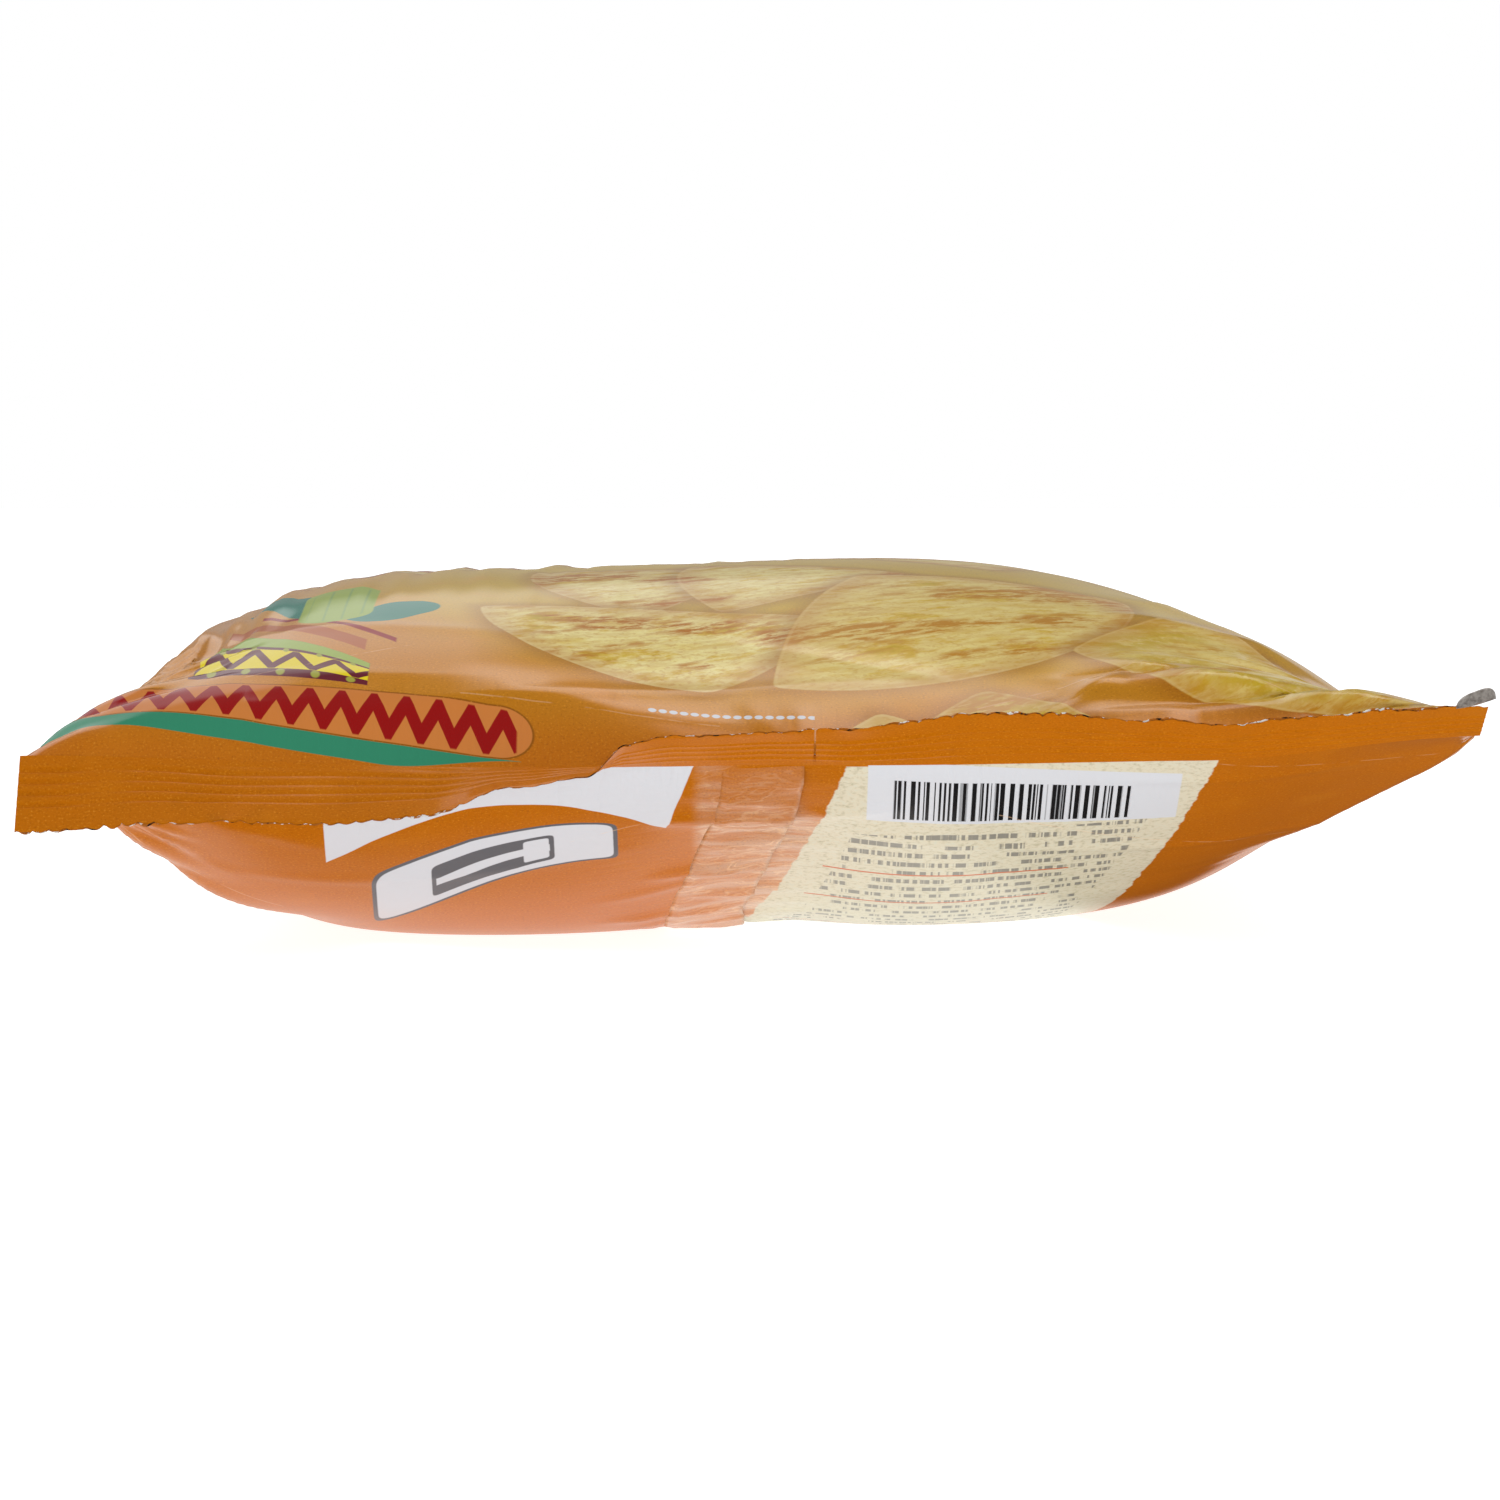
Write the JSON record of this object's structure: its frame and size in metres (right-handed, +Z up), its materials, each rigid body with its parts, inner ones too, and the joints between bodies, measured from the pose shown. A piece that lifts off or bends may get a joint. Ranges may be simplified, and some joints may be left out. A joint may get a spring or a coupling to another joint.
{
  "type": "bag of crisps",
  "caption": "Sealed pillow bag of tortilla chips in orange metallised film, lying on its back, with a crimped zigzag-cut seal at each end.",
  "frame": {"origin": "middle of the bag's outline seen from above, on the surface it lies on", "axes": "+Z up, out of the printed front; +Y along the bag from its bottom seal to its top seal; +X across the bag"},
  "size_m": [0.19, 0.274, 0.0513],
  "materials": {
    "film": "satin-gloss printed film, orange metallic ink with a fine sparkle"
  },
  "bodies": {
    "root": {"bag": "film"}
  },
  "joints": []
}
